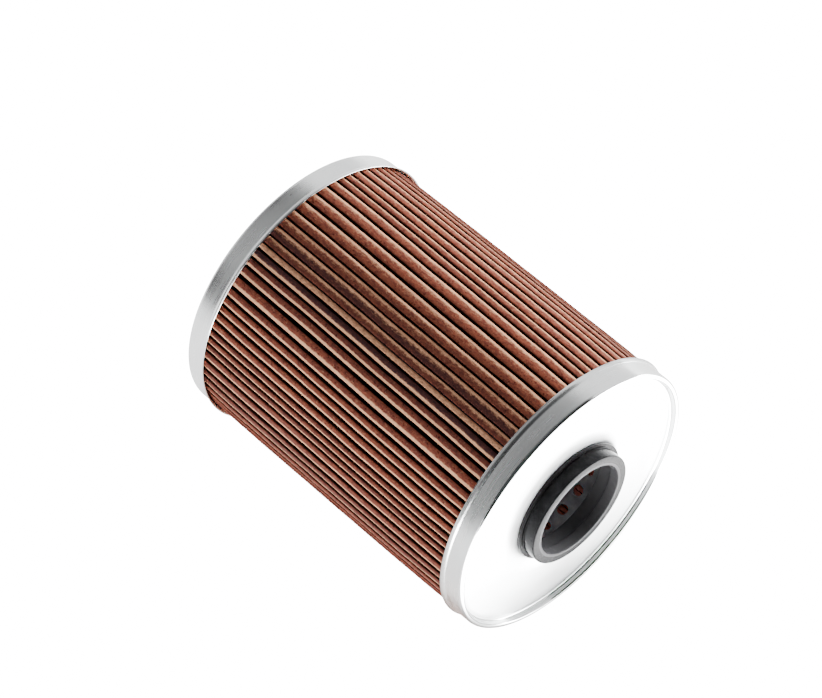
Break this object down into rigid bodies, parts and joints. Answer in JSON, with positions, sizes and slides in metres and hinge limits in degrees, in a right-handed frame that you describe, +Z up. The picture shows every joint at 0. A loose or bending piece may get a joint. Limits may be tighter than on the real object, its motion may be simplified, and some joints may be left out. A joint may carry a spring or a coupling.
{
  "type": "oil filter element",
  "caption": "Cartridge oil filter element: pleated paper round a perforated tube, held between two metal end caps with rubber bore seals.",
  "frame": {"origin": "on the surface the element lies on, under the middle of its length", "axes": "+X along the element's axis from the far cap to the near cap, +Z up; the element lies on its side"},
  "size_m": [0.1108, 0.0834, 0.0834],
  "materials": {
    "tinplate": "bright tin coating, drawn, faint brushing",
    "grommet_rubber": "satin moulded",
    "tube_steel": "dark phosphated",
    "filter_paper": "resin cured, fibrous, matt",
    "clip_metal": "plain, crimped",
    "plastisol": "cured, slightly glossy"
  },
  "bodies": {
    "root": {"near_end_cap": "tinplate", "far_end_cap": "tinplate", "near_grommet": "grommet_rubber", "far_grommet": "grommet_rubber", "centre_tube": "tube_steel", "pleated_paper": "filter_paper", "seam_clip": "clip_metal", "near_potting_bed": "plastisol", "far_potting_bed": "plastisol"}
  },
  "joints": []
}
